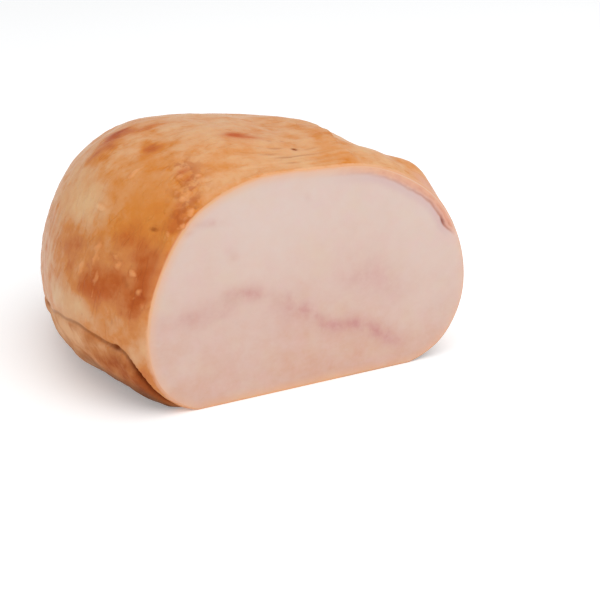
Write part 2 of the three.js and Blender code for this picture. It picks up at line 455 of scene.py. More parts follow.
def seam_inset_at(around):
    """How far the seam lies inside the rim: it runs out to the rim at its lower end."""
    place = np.mod(around, 1)
    runs_out = SEAM_RUNS_OUT * (1 - rise(place, 0.28, 0.306)) * rise(place, 0.18, 0.26)
    return SEAM_INSET - runs_out + SEAM_WANDER * np.sin(70 * around)


def face_ring(inset, to_middle):
    across, up = cut_loop.at(column_around)
    heading_across, heading_up = cut_loop.heading(column_around)
    across, up = across - heading_up * inset, np.maximum(up, 0) + heading_across * inset
    across = across + (FACE_MIDDLE[0] - across) * to_middle
    up = up + (FACE_MIDDLE[1] - up) * to_middle
    return np.stack([across, np.zeros(COLUMNS), up], axis=-1)


course = seam_course(column_around)
skin_shows = np.ones(COLUMNS)
for where, spread, loss in SKIN_IS_THIN:
    skin_shows -= loss * bell(shortest_turn(column_around - where) * LENGTH_AROUND, spread)
rim_light = RIM_LINE_INSIDE - RIM_LINE_LEFT * bell(from_left_rim, LEFT_RIM_SPREAD)
from_hole = shortest_turn(column_around - HOLE_AROUND) * LENGTH_AROUND
seam_open = course * (0.25 + 0.75 * bell(from_hole, SEAM_OPEN_REACH))
seam_inset = seam_inset_at(column_around)
rings = [(rounding_here + (seam_inset - rounding_here) * share, 0) for share in outer_rings]
rings += [(seam_inset + INNER_BAND * share, 0) for share in seam_rings]
rings += [(seam_inset + INNER_BAND, share) for share in middle_rings]

face_rows, from_rim, from_seam, hole_shade = [], [], [], []
for ring_inset, to_middle in rings:
    ring_points = face_ring(ring_inset, to_middle)
    beside = ring_inset - seam_inset + np.zeros(COLUMNS)
    hole = bell(from_hole, HOLE_LENGTH) * bell(beside, HOLE_WIDTH) * (to_middle == 0)
    groove = SEAM_DEPTH * seam_open * bell(beside, SEAM_WIDTH) * (to_middle == 0)
    ring_points[:, 1] = groove + HOLE_DEPTH * hole
    face_rows.append(ring_points)
    across, _, up = ring_points.T
    from_rim.append(ring_inset - rounding_here + to_middle * np.hypot(across, up - FACE_MIDDLE[1]))
    from_seam.append(beside + FAR_INSIDE * to_middle)
    hole_shade.append(hole)
print("cut face:", len(rings), "rings")

# %% [markdown]
# ## Places with a look of their own
#
# Roasted skin is never one colour. This one has amber patches on its left flank, a golden field
# above them, a pale band over the hem, a blistered strip that crosses down to the cut and a few
# small reddish scars. Each place is a named soft spot with a centre and a reach in millimetres,
# and together they are written on the mesh as attributes, which the relief and the materials
# both read. Painting them this way keeps them fixed to the skin from every side.

# %% Soft spots on the skin
BROWNING = {
    # name: centre, reach, strength
    "amber patch on the flank": ((-106, 50, 75), (14, 14, 10), 0.22),
    "back of the patch": ((-105, 60, 80), (14, 8, 8), 0.08),
    "deep amber over the pale band": ((-102, 24, 64), (14, 10, 8), 0.42),
    "left half of the deep amber": ((-108, 34, 61), (10, 6, 6), 0.27),
    "deep amber, front": ((-97, 17, 70), (12, 6, 6), 0.12),
    "beside the cut": ((-87, 5, 75), (12, 7, 13), 0.44),
    "dark foot of the patch": ((-92, 6, 60), (10, 6, 7), 0.34),
    "amber between the two": ((-97, 14.5, 62), (8, 6, 6), 0.15),
    "tan foot by the rim": ((-96, 8, 48), (8, 7, 6), 0.1),
    "amber under the gold": ((-92, 20, 85), (14, 15, 10), 0.17),
    "low gold": ((-79, 13, 99), (12, 9, 7), 0.1),
    "golden field": ((-72, 22, 110), (12, 13, 9), 0.07),
    "foot of the blistered strip": ((-72, 2, 94), (3.4, 3.4, 3), 0.3),
    "left of the strip": ((-74, 5, 97), (3, 3, 3), 0.2),
    "oval blot on the crown": ((-64.5, 48, 120), (6, 6.5, 6), 0.3),
    "tail of the blot": ((-54, 43, 123), (7, 4, 6), 0.18),
    "brown spot by the blot": ((-59, 35, 121), (3, 2.4, 4), 0.2),
    "long streak at the top left": ((-56, 76, 122), (15, 4, 12), 0.3),
    "dark end of the streak": ((-69, 86, 118), (8, 7, 7), 0.75),
    "foot of the streak": ((-80, 77, 114), (6, 7, 6), 0.4),
    "heel of the streak": ((-84, 69, 111), (5, 6, 6), 0.16),
    "light crown by the rim": ((-40, 5, 115), (14, 5, 6), -0.12),
    "orange foot of the flap": ((22, 5, 115), (6, 5, 8), 0.02),
    "red-brown roll by the rim": ((-89, 9, 15), (12, 12, 12), 0.18),
    "roll below the pit": ((-99, 24, 19), (12, 14, 8), 0.22),
    "brown roll under the pit": ((-102, 21, 27), (10, 9, 5), 0.18),
    "tan skirt under the hem": ((-102, 17, 34), (10, 14, 3), -0.12),
    "light belly at the back": ((-108, 76, 22), (12, 30, 12), -0.4),
    "pale start of the roll": ((-112, 48, 34), (12, 18, 8), -0.34),
    "pale shoulder": ((-98, 58, 95), (14, 16, 9), -0.44),
    "pale edge of the left": ((-108, 88, 70), (14, 14, 40), -0.08),
    "pale back flank": ((-96, 90, 97), (20, 22, 20), -0.17),
    "pale band over the hem": ((-112, 52, 50), (20, 22, 7), -0.3),
    "pale foot of the hem": ((-106, 28, 49), (14, 13, 5), -0.08),
    "light crown behind the cut": ((-12, 14, 119), (30, 16, 14), -0.17),
    "light crown left of the flap": ((10, 42, 121), (6, 10, 6), -0.16),
    "orange top of the flap": ((19, 33, 121), (7, 9, 6), 0.12),
    "pale corner by the cut": ((-90, 2, 35), (8, 6, 6), -0.36),
    "pale crown": ((-30, 60, 125), (46, 45, 30), -0.22),
    "pale back": ((10, 150, 80), (90, 50, 60), -0.12),
    "pale strip beside the flap": ((43, 14, 109), (15, 26, 16), -0.24),
    "tan skin over the crack": ((-97, 9, 48), (8, 7, 5), -0.06),
    "tan skin by the crack": ((-90, 3, 25), (6, 4, 6), 0.05),
    "light skin under it": ((-86, 1, 13), (6, 3, 6), -0.14),
    "light foot of the crack": ((-79, 0.6, 6), (7, 2.6, 5), -0.25),
    "amber on the right flank": ((76, 46, 62), (14, 20, 11), 0.34),
    "second amber on the right": ((62, 104, 54), (14, 18, 9), 0.3),
    "amber by the right rim": ((82, 8, 66), (12, 8, 14), 0.18),
    "pale band over the right hem": ((72, 70, 52), (16, 26, 6), -0.2),
    "pale right shoulder": ((56, 74, 96), (12, 26, 9), -0.2),
    "amber on the blunt end": ((-6, 170, 64), (22, 14, 12), 0.32),
    "amber back of the crown": ((-46, 148, 96), (16, 14, 10), 0.26),
    "amber back of the left": ((-94, 128, 74), (14, 16, 12), 0.26),
    "pale heel": ((-62, 164, 52), (18, 14, 8), -0.16),
    "dark meat on the right": ((62, 60, 20), (14, 20, 9), 0.2),
    "dark meat at the back": ((-40, 170, 22), (30, 12, 8), 0.2),
}
BLUSH = {
    "red spot on the crown": ((-24.6, 37.6, 125), (5.4, 3.1, 8), 0.95),
    "tail of the red spot": ((-17.6, 34, 123), (6, 1.8, 8), 0.5),
    "halo of the red spot": ((-22, 37, 125), (10, 6, 8), 0.25),
    "red end of the long streak": ((-69, 86, 118), (7, 6, 7), 0.4),
    "foot of the long streak": ((-80, 77, 114), (5, 7, 7), 0.15),
    "long streak": ((-56, 76, 122), (16, 4.5, 12), 0.25),
    "flush of the blot": ((-64.5, 48, 120), (6.5, 6.5, 6), 0.1),
    "red patch on the right": ((66, 60, 82), (9, 7, 5), 0.4),
    "red streak at the back": ((-30, 150, 104), (13, 4, 8), 0.5),
    "red spot on the left back": ((-90, 120, 92), (8, 5, 5), 0.45),
    "flushed crown": ((-12, 50, 126), (36, 30, 20), 0.1),
    "flushed edge of the left": ((-104, 90, 76), (16, 16, 40), 0.12),
    "flush beside the cut": ((-86, 2, 71), (8, 3.6, 8), 0.35),
    "pink skin by the crack": ((-89, 2, 22), (8, 5, 14), 0.12),
    "red foot of the deep amber": ((-104, 26, 60), (10, 8, 4), 0.3),
    "dark top of the blisters": ((-60, 19, 116), (4, 2, 2.4), 0.75),
    "dark middle of the blisters": ((-60, 13.4, 114), (2, 1.8, 2), 0.65),
    "dark spot between the beads": ((-68, 7, 104), (1.8, 1.6, 1.8), 0.5),
    "dark spot to their right": ((-61, 4, 107), (2.4, 2, 2.4), 0.4),
    "red foot of the strip": ((-70, 3, 98.5), (5, 4, 6), 0.6),
}
SCARS = {
    "pit beside the blisters": ((-80, 10, 93), (3, 3, 1.3), 0.62),
    "dark dot on the crown": ((-0.5, 20.5, 119), (1.5, 1.3, 4), 1.1),
    "second dot on the crown": ((-9, 31, 122), (2.2, 1.7, 4), 0.4),
    "third dot on the crown": ((-2, 31, 120), (2, 1.6, 4), 0.4),
    "dash on the crown": ((-10, 22.5, 120), (5.5, 1.4, 4), 0.46),
    "long wrinkle on the crown": ((-2, 13.4, 118), (19, 1.1, 5), 0.46),
    "dark part of the wrinkle": ((-10, 13.8, 118), (4, 0.9, 4), 0.14),
    "short wrinkle by the cut": ((-8, 7.8, 117), (5, 1.1, 4), 0.4),
    "wrinkle behind it": ((-16, 17, 119), (8, 1.1, 4), 0.4),
    "wrinkle by the flap": ((8, 19, 119), (7, 1.1, 4), 0.38),
    "pit in the hem": ((-99.2, 14.8, 35.6), (3, 2, 1.4), 0.9),
    "small dark line above the hem": ((-101, 16, 48), (3, 0.8, 2.4), 0.4),
    "dark crease by the foot, upper": ((-95, 14, 70), (3, 1.7, 2.4), 0.36),
    "dark crease by the foot, middle": ((-94, 11.4, 67), (3, 1.7, 2.4), 0.4),
    "dark crease by the foot, lower": ((-92, 8.4, 64), (3, 1.7, 2.4), 0.38),
    "dark fleck in the amber": ((-96, 24, 79.5), (3, 1.5, 1.6), 0.36),
    "olive mark on the flank": ((-98, 36, 87), (3, 1, 2.2), 0.22),
    "olive mark beside it": ((-96, 30, 86), (3, 1.2, 2.2), 0.16),
    "dark top of a bead": ((-91, 12, 76), (3, 1.3, 1), 0.3),
    "pit on the rim": ((-62, 0.8, 103.6), (1.5, 1.3, 1.5), 0.45),
    "fold in the roll": ((-108, 38, 29), (4, 1.6, 5), 0.3),
    "fold beside it": ((-105, 33, 26), (4, 1.4, 5), 0.25),
    "dot on the right": ((70, 52, 76), (3, 1.5, 1.5), 0.8),
    "dash on the right": ((60, 90, 72), (4, 4, 0.9), 0.5),
    "dot at the back": ((-16, 158, 98), (1.6, 3, 3), 0.8),
    "dash at the back": ((-50, 162, 88), (4, 3, 1.2), 0.5),
    "dot on the left back": ((-98, 108, 82), (4, 1.5, 1.4), 0.7),
}
# Ridges and beads stand up in the relief, and the skin paints them pale as a painted highlight.
RIDGES = {
    "upper ridge of the gold": ((-78.5, 38, 111.5), (4, 1.5, 2.4), 0.8),
    "ridge beside it": ((-75, 38, 114), (4, 1.3, 2.2), 0.5),
    "top of the golden field": ((-71, 33, 115), (3.4, 1.5, 2), 0.4),
    "cream line on the shoulder": ((-94.5, 43, 97), (4, 5, 1.5), 0.9),
    "pale ridge of the shoulder": ((-98, 49, 90), (4, 1.9, 2.8), 0.4),
    "upper bead in the amber": ((-98, 38, 86), (4, 1.5, 2.2), 0.6),
    "middle bead in the amber": ((-99, 32.5, 80.5), (4, 2, 3.4), 0.8),
    "lower bead in the amber": ((-102, 32, 75), (4, 1.4, 3), 0.75),
    "bead in the middle": ((-95, 20.6, 78.5), (4, 1.3, 1.4), 0.7),
    "ridge below the bead": ((-95, 18, 75), (4, 1.6, 3), 0.75),
    "bead on the flank": ((-91, 10.6, 72.6), (3.4, 1.8, 1.7), 1.0),
    "bead by the foot": ((-90, 5, 65), (3.4, 1.6, 2.2), 0.8),
    "small bead by the foot": ((-92, 7, 62), (3.4, 1.2, 1), 0.4),
    "last bead by the foot": ((-90, 2.4, 59), (3.4, 1.3, 1.8), 0.4),
    "low ridge": ((-106.5, 39.6, 69), (4, 1.9, 4.6), 0.8),
    "foot of the low ridge": ((-108, 37, 60), (4, 1.2, 3), 0.45),
    "middle ridge": ((-103, 28, 67), (4, 1.6, 3.8), 0.75),
    "ridge over the pale band": ((-110, 41, 57), (4, 1.6, 3.6), 0.4),
    "back ridge": ((-105, 69, 82), (4, 1.6, 5), 0.35),
    "bead above the pit": ((-99, 14, 40.5), (4, 2, 1.5), 0.45),
    "pale bead of the roll": ((-109, 35.5, 35.5), (4, 1.8, 2), 0.5),
    "corner by the rim": ((-92, 3, 38), (4, 1.6, 2.2), 0.3),
    "pale edge over the crack": ((-89, 4.5, 25), (4, 1.2, 4.5), 0.45),
}
BEADS = {
    "near the blot": ((-61, 33, 120), (1.8, 1.6, 2), 0.4),
    "beside the dark top": ((-63, 17, 114), (2, 1.8, 1.8), 0.85),
    "right of the dark top": ((-56, 12.4, 115.5), (2, 1.9, 2), 0.85),
    "below the first": ((-63, 13.4, 112), (1.6, 1.6, 1.8), 0.4),
    "middle, left": ((-67, 11, 108.5), (1.6, 1.5, 1.6), 0.8),
    "middle": ((-66, 7.8, 106), (1.8, 1.5, 1.5), 1.0),
    "middle, right": ((-63, 7.4, 108), (2, 2, 2.4), 0.45),
    "below the middle": ((-65, 2.4, 103), (1.8, 1.5, 1.8), 0.5),
    "right of the middle": ((-60, 2.4, 106), (1.8, 1.5, 1.8), 0.4),
    "rim, top": ((-63.4, 0.8, 102.8), (1.2, 1.1, 1.4), 0.6),
    "rim, upper": ((-65, 0.6, 101), (1.3, 1.1, 1.4), 0.8),
    "rim, middle": ((-67, 0.5, 98.6), (1.2, 1, 1.4), 0.7),
    "rim, lower": ((-69, 0.6, 96.2), (1.3, 1.2, 1.4), 1.0),
    "rim, foot": ((-70.6, 0.8, 94), (1.2, 1.1, 1.2), 0.7),
    "foot of the strip": ((-75.6, 3, 92), (1.5, 1.4, 1.7), 0.7),
}
FLECKED = {
    "flank": ((-106, 34, 72), (24, 34, 26), 0.45),
    "beside the gold": ((-80, 36, 108), (16, 18, 12), 0.4),
    "above the hem": ((-104, 22, 48), (16, 26, 9), 0.35),
    "back of the flank": ((-100, 100, 70), (30, 50, 30), 0.6),
    "right flank": ((72, 70, 66), (30, 56, 24), 0.7),
    "blunt end": ((-20, 170, 70), (50, 26, 26), 0.6),
}
EVEN = {
    "golden field": ((-77, 21, 103), (17, 20, 17), 1.0),
    "deep amber": ((-104, 28, 62), (12, 14, 9), 0.5),
    "amber beside the cut": ((-90, 7, 76), (10, 10, 18), 0.5),
    "crown behind the cut": ((-5, 14, 118), (38, 14, 16), 0.6),
}
WRINKLED = {
    "crown behind the cut": ((-5, 10, 118), (34, 12, 16), 1.0),
    "left of the crown": ((-55, 60, 122), (30, 16, 14), 0.12),
    "back of the flank": ((-106, 80, 66), (16, 26, 26), 0.7),
    "right flank": ((72, 70, 60), (20, 34, 20), 0.6),
    "blunt end": ((-10, 168, 70), (50, 22, 22), 0.5),
}
STRIPED = {
    "back of the flank": ((-107, 84, 62), (16, 26, 24), 0.8),
    "right flank": ((70, 80, 62), (20, 50, 24), 0.5),
    "blunt end": ((-20, 170, 66), (46, 18, 24), 0.5),
}


def soft_spots(points, spots, crispness=1.0):
    """Bells around the centres; a crispness over 1 gives them a flatter top and a steeper edge."""
    total = np.zeros(len(points))
    for centre, reach, strength in spots.values():
        steps = (points - np.array(centre)) / np.array(reach)
        total += strength * np.exp(-((steps**2).sum(1)) ** crispness)
    return total


def wobble(height, pace, order, phase):
    """Small waves that give the spots uneven edges."""
    return height * np.sin(pace * skin[:, order] + phase)


CRISP_EDGE = 1.25
PALER_BESIDE_FLAP = 0.04
ragged_places = skin + wobble(1.6, 0.35, [2, 0, 1], (1.0, 3.1, 5.2))
ragged_places += wobble(0.8, 0.9, [1, 2, 0], (0.4, 2.2, 4.1))
uneven_places = skin + wobble(0.5, 1.3, [1, 2, 0], (0.4, 2.2, 4.1))
browning = soft_spots(ragged_places, BROWNING)
browning -= flap_depth * PALER_BESIDE_FLAP * (1 - over_flap) * bell(flap_distance, FLAP_REACH)
ridges = soft_spots(uneven_places, RIDGES, CRISP_EDGE)
beads = soft_spots(uneven_places, BEADS, CRISP_EDGE)
blush, scars, wrinkled = (soft_spots(skin, spots) for spots in (BLUSH, SCARS, WRINKLED))
flecked, even, striped = (soft_spots(skin, spots).clip(0, 1) for spots in (FLECKED, EVEN, STRIPED))
for name, values in (("browning", browning), ("blush", blush), ("scars", scars), ("ridges", ridges)):
    print(name, "from", round(values.min(), 2), "to", round(values.max(), 2))

# %% The blistered strip, the painted shade of the hem's crease and of the underside, and the meat below it
BLISTERS = [
    # around, back, strength
    (0.592, 31, 0), (0.594, 26, 0.9), (0.595, 19, 1), (0.605, 11.5, 1), (0.62, 6.4, 1),
    (0.632, 3.1, 1), (0.642, 1.8, 0.9), (0.66, 1.5, 0),
]
BLISTER_REACH = 7.5
CREASE_REACH = 8.0
MEAT_SHOWS_UP_TO = 75.0
blister_distance, _, blister_strength = skin_track(BLISTERS).read(plain, normals)
blisters = blister_strength * bell(blister_distance, BLISTER_REACH)
from_hem = np.copysign(hem_distance, hem_side)
# Where the hem's crease gets its painted shade.
crease = np.clip(0.2 + 0.3 * hem_depth, 0, 1) * (hem_depth > 0.1) * bell(hem_distance, CREASE_REACH)
below_hem = rise(-hem_side, -0.5, 2.5) * (skin[:, 2] < MEAT_SHOWS_UP_TO)
# Painted shade: darker where the skin faces down and turns under, less so far behind the cut.
underside_shade = rise(-normals[:, 2], 0.3, 0.65) * (1 - 0.5 * rise(flat_back, 30, 55))
drawn_back = rise(flat_around, 0.3, 0.33) * (1 - rise(flat_around, 0.356, 0.378))
drawn_back *= 1 - rise(flat_back, 4, 11)
print("points below the hem:", int((below_hem > 0.5).sum()))

# %% The marbling of the cut
MARBLING = [
    # across, up, strength
    (-84, 50, 0.3), (-69, 48.3, 0.6), (-51, 49, 0.5), (-44, 57, 0.6), (-35, 56, 0.8),
    (-26, 53, 0.55), (-16, 49.5, 0.8), (-6, 42.5, 1), (2, 36.5, 0.9), (6.5, 32.5, 1),
    (12, 29.8, 1.3), (21, 29, 1.5), (33, 24.5, 1.4), (42, 18.7, 1.2), (51, 14, 0.8), (62, 11, 0),
]
MARBLING_REACH = 4.5
face = np.concatenate(face_rows)
marks = np.array(MARBLING, float)
marbling_track = Track(np.stack([marks[:, 0], 0 * marks[:, 0], marks[:, 1]], axis=1), marks[:, 2])
facing = np.tile([0.0, -1.0, 0.0], (len(face), 1))
marbling_distance, _, marbling_strength = marbling_track.read(face, facing)
marbling = marbling_strength * bell(marbling_distance, MARBLING_REACH)

DARK_PLACES = {
    "patch right of the middle": ((31, 0, 54), (17, 1, 9), 0.62),
    "core of the patch": ((26, 0, 53.7), (4, 1, 2.6), 0.4),
    "lower half of the patch": ((45, 0, 44), (9, 1, 8), 0.5),
    "haze above the marbling": ((-48, 0, 54), (20, 1, 7), 0.4),
    "haze below the marbling": ((-14, 0, 39), (16, 1, 9), 0.35),
    "small fleck": ((-44.5, 0, 77.6), (2.2, 1, 3), 0.6),
    "fleck at the upper left": ((-57, 0, 95), (8, 1, 1.8), 0.7),
    "fleck beside it": ((-67, 0, 92), (3, 1, 1.6), 0.7),
    "fleck under the top": ((-4, 0, 100), (2, 1, 3), 0.22),
    "warm foot": ((-44, 0, 16), (14, 1, 9), 0.25),
    "dark left foot": ((-63, 0, 33), (5, 1, 8), 0.25),
}
marbling += soft_spots(face, DARK_PLACES)

# %% [markdown]
# ## One closed mesh
#
# Both grids share their columns, so they join without a seam: the rings run from the middle of the
# face out to the rim, and the rows go on from there to the tip. The middle and the tip are single
# points with a fan of triangles, which closes the mesh.

# %% Join face, rim and skin
ring_count = len(rings)
middle_point = np.array([[FACE_MIDDLE[0], 0, FACE_MIDDLE[1]]], float)
tip_point = plain_body(np.array([0.0]), np.array([BODY_LENGTH]))
inner_first = face.reshape(ring_count, COLUMNS, 3)[::-1].reshape(-1, 3)
points = np.concatenate([middle_point, inner_first, skin, tip_point])
row_count = ring_count + len(back)
tip = len(points) - 1


def grid_faces():
    faces = []
    for row in range(row_count - 1):
        for column in range(COLUMNS):
            here = 1 + row * COLUMNS
            beside = (column + 1) % COLUMNS
            faces.append((here + column, here + COLUMNS + column, here + COLUMNS + beside, here + beside))
    last = 1 + (row_count - 1) * COLUMNS
    for column in range(COLUMNS):
        beside = (column + 1) % COLUMNS
        faces.append((0, 1 + column, 1 + beside))
        faces.append((tip, last + beside, last + column))
    return faces


faces = grid_faces()
mesh = bpy.data.meshes.new("turkey_breast_shape")
mesh.from_pydata((points * MM + body_to_part).tolist(), [], faces)
print("mesh:", len(points), "points,", sum(len(f) - 2 for f in faces), "triangles")

# %% Write the places on the mesh
FAR_FROM_RIM = 60.0
BEADS_REACH_INSIDE = 1.2


def middle_first(rows):
    """Values of the rings in the order of the mesh, from the middle of the face out to the rim."""
    return np.stack(rows)[::-1].ravel()


def whole_mesh(skin_values, face_values=0.0, middle=0.0):
    """Values for every point of the mesh; the tip takes the last value of the skin."""
    face_values = np.broadcast_to(face_values, len(inner_first)).astype(float)
    return np.concatenate([[middle], face_values, skin_values, skin_values[-1:]])


def new_object(name, data):
    made = bpy.data.objects.new(name, data)
    bpy.context.scene.collection.objects.link(made)
    return made


nothing = np.zeros(len(skin))
rim_distance = middle_first(from_rim)
beads_inside = np.tile(beads[:COLUMNS], ring_count) * (rim_distance < BEADS_REACH_INSIDE)
attributes = {
    "behind_cut": whole_mesh(flat_back),
    "from_rim": whole_mesh(inset - np.maximum(flat_back, rounding), rim_distance, FAR_FROM_RIM),
    "from_seam": whole_mesh(nothing + FAR_INSIDE, middle_first(from_seam), FAR_INSIDE),
    "hole_shade": whole_mesh(nothing, middle_first(hole_shade)),
    "marbling": whole_mesh(nothing, middle_first(marbling.reshape(ring_count, COLUMNS))),
    "seam_course": whole_mesh(nothing, np.tile(course, ring_count)),
    "seam_open": whole_mesh(nothing, np.tile(seam_open, ring_count)),
    "skin_shows": whole_mesh(np.tile(skin_shows, len(back)), np.tile(skin_shows, ring_count)),
    "rim_light": whole_mesh(np.tile(rim_light, len(back)), np.tile(rim_light, ring_count)),
    "browning": whole_mesh(browning, np.tile(browning[:COLUMNS], ring_count)),
    "beads": whole_mesh(beads, beads_inside),
}
only_on_skin = {
    "blush": blush, "scars": scars, "ridges": ridges, "flecked": flecked, "wrinkled": wrinkled,
    "blisters": blisters, "crease": crease, "from_hem": from_hem, "even": even, "striped": striped,
    "below_hem": below_hem, "underside_shade": underside_shade, "drawn_back": drawn_back,
}
attributes.update((name, whole_mesh(values)) for name, values in only_on_skin.items())
for name, values in attributes.items():
    mesh.attributes.new(name, "FLOAT", "POINT").data.foreach_set("value", values.astype(np.float32))

cut_faces = np.zeros(len(faces), bool)
cut_faces[:ring_count * COLUMNS] = True
cut_faces[(row_count - 1) * COLUMNS::2] = True
mesh.attributes.new("on_cut", "BOOLEAN", "FACE").data.foreach_set("value", cut_faces)
raw_breast = new_object("turkey_breast_raw", mesh)
print("attributes:", ", ".join(attributes))

# %% [markdown]
# ## Small helpers for node trees
#
# Every tree in this lesson is built the same way: add a node, give its inputs plain numbers or
# the outputs of other nodes, and pass its output on. A socket knows the tree that it belongs to,
# so the helpers for sums need only the values, and a formula reads much like plain arithmetic.

# %% Helpers that add and join nodes


def feed(socket, value):
    """Join another node's output to an input, or write a plain value in it."""
    if isinstance(value, bpy.types.NodeSocket):
        socket.id_data.links.new(value, socket)
    else:
        socket.default_value = value


def add(tree, kind, inputs=None, **settings):
    node = tree.nodes.new(kind)
    for name, value in settings.items():
        setattr(node, name, value)
    for name, value in (inputs or {}).items():
        feed(node.inputs[name], value)
    return node


def calc(operation, *values, clamp=False, kind="ShaderNodeMath"):
    """One sum on plain numbers and sockets; at least one of them has to be a socket."""
    tree = next(value.id_data for value in values if isinstance(value, bpy.types.NodeSocket))
    node = add(tree, kind, dict(enumerate(values)), operation=operation)
    if clamp:
        node.use_clamp = True
    return node.outputs[0]


def plus(first, *others, clamp=False):
    for other in others:
        first = calc("ADD", first, other, clamp=clamp)
    return first


def times(first, *others, clamp=False):
    for other in others:
        first = calc("MULTIPLY", first, other, clamp=clamp)
    return first


def minus(value, other):
    return calc("SUBTRACT", value, other)


def vector_calc(operation, *values):
    return calc(operation, *values, kind="ShaderNodeVectorMath")


def vector_scale(vector, scale):
    scaled = vector_calc("SCALE", vector)
    feed(scaled.node.inputs["Scale"], scale)
    return scaled


def remap(value, start, end, low=0.0, high=1.0, smooth=True):
    inputs = {"Value": value, "From Min": start, "From Max": end, "To Min": low, "To Max": high}
    kind = "SMOOTHSTEP" if smooth else "LINEAR"
    return add(value.id_data, "ShaderNodeMapRange", inputs, interpolation_type=kind).outputs["Result"]


def height_of(place):
    return add(place.id_data, "ShaderNodeSeparateXYZ", {0: place}).outputs[2]


def new_input(tree, name, kind="NodeSocketFloat", value=None):
    socket = tree.interface.new_socket(name=name, in_out="INPUT", socket_type=kind)
    if value is not None:
        socket.default_value = value
    return socket


# %% [markdown]
# ## Fine relief with Geometry Nodes
#
# The skin has shrunk onto the meat: it is puckered all over, finely wrinkled just behind the
# cut, blistered in its strip, and small ridges stand up from it. All of that follows the surface by
# rule, so a Geometry Nodes tree does it. It moves each point along its normal by a sum of
# noises, and each noise is held in its place by one of the attributes. The sizes are named
# inputs, so the relief can be tried stronger or finer without touching the tree.

# %% The relief tree
relief = bpy.data.node_groups.new("roasted_skin_relief", "GeometryNodeTree")
RELIEF_INPUTS = {
    # name: value, heights and sizes in millimetres
    "Pucker height": 0.65,
    "Pucker size": 9.0,
    "Wrinkle height": 0.3,
    "Wrinkle spacing": 2.4,
    "Blister height": 1.1,
    "Blister size": 4.6,
    "Ridge height": 0.6,
    "Ridge length": 7.0,
    "Ridge width": 2.4,
    "Bead height": 1.0,
    "Scar depth": 0.6,
    "Underside height": 1.1,
    "Underside size": 13.0,
    "Meat unevenness": 0.16,
    "Seed": 7.0,
}
new_input(relief, "Breast", "NodeSocketGeometry")
relief_sockets = {name: new_input(relief, name, value=value) for name, value in RELIEF_INPUTS.items()}
for name in ("Skin", "Meat"):
    relief_sockets[name] = new_input(relief, name, "NodeSocketMaterial")
relief.interface.new_socket(name="Breast", in_out="OUTPUT", socket_type="NodeSocketGeometry")
given = relief.nodes.new("NodeGroupInput").outputs
position = vector_scale(relief.nodes.new("GeometryNodeInputPosition").outputs[0], 1 / MM)


def read_attribute(name, kind="FLOAT"):
    node = add(relief, "GeometryNodeInputNamedAttribute", {"Name": name}, data_type=kind)
    return node.outputs["Attribute"]


def sizes(across, along_body, up):
    return add(relief, "ShaderNodeCombineXYZ", {0: across, 1: along_body, 2: up}).outputs[0]


def even_size(name):
    return sizes(given[name], given[name], given[name])


def relief_noise(size, detail=2.0, roughness=0.5):
    """Noise around zero, about one high from top to bottom."""
    scaled = vector_calc("DIVIDE", position, size)
    inputs = {"Vector": scaled, "W": given["Seed"], "Scale": 1.0, "Detail": detail, "Roughness": roughness}
    value = add(relief, "ShaderNodeTexNoise", inputs, noise_dimensions="4D").outputs[0]
    return calc("MULTIPLY_ADD", value, 2.0, -1.0)


behind = read_attribute("behind_cut")
free_of_table = remap(height_of(position), 2.0, 9.0)
off_rim = times(remap(behind, 0.2, 3.0), free_of_table)

# %% Puckers and wrinkles
puckered = times(relief_noise(even_size("Pucker size"), detail=3.0), off_rim)
wrinkle_length = times(given["Wrinkle spacing"], 8.0)
wrinkle_noise = relief_noise(sizes(wrinkle_length, given["Wrinkle spacing"], wrinkle_length), detail=1.5)
wrinkled_share = plus(times(read_attribute("wrinkled"), 1.4), 0.3)

# %% Ridges and blisters
ridge_size = sizes(given["Ridge length"], given["Ridge width"], given["Ridge length"])
ridged = times(remap(relief_noise(ridge_size, detail=1.0), 0.25, 0.42), read_attribute("flecked"))
ridged = calc("MAXIMUM", ridged, read_attribute("ridges"))
cells = add(relief, "ShaderNodeTexVoronoi", {
    "Vector": vector_calc("DIVIDE", position, even_size("Blister size")),
    "W": given["Seed"], "Scale": 1.0,
}, voronoi_dimensions="4D", feature="SMOOTH_F1")
blister_place = times(read_attribute("blisters"), remap(behind, 0.2, 1.2))
domes = times(remap(cells.outputs["Distance"], 0.05, 0.6, 1.0, 0.0), blister_place)
beaded = read_attribute("beads")
raised = calc("MAXIMUM", calc("MAXIMUM", ridged, times(domes, 0.25)), beaded)

# %% Everything added up and applied
lumps = relief_noise(even_size("Underside size"), detail=4.0, roughness=0.6)
uneven_meat = relief_noise((14.0, 14.0, 9.0), detail=3.0)
total = plus(
    times(puckered, given["Pucker height"]),
    times(wrinkle_noise, given["Wrinkle height"], wrinkled_share, off_rim),
    times(ridged, given["Ridge height"]),
    times(beaded, given["Bead height"]),
    times(minus(domes, times(blister_place, 0.3)), given["Blister height"]),
    times(lumps, given["Underside height"], read_attribute("below_hem"), off_rim),
    times(uneven_meat, given["Meat unevenness"], remap(read_attribute("from_rim"), 1.2, 4.0)),
)
total = minus(total, times(read_attribute("scars"), given["Scar depth"]))
shift = vector_scale(relief.nodes.new("GeometryNodeInputNormal").outputs[0], times(total, MM))


def step(kind, geometry, inputs=None, **settings):
    return add(relief, kind, {"Geometry": geometry, **(inputs or {})}, **settings).outputs[0]


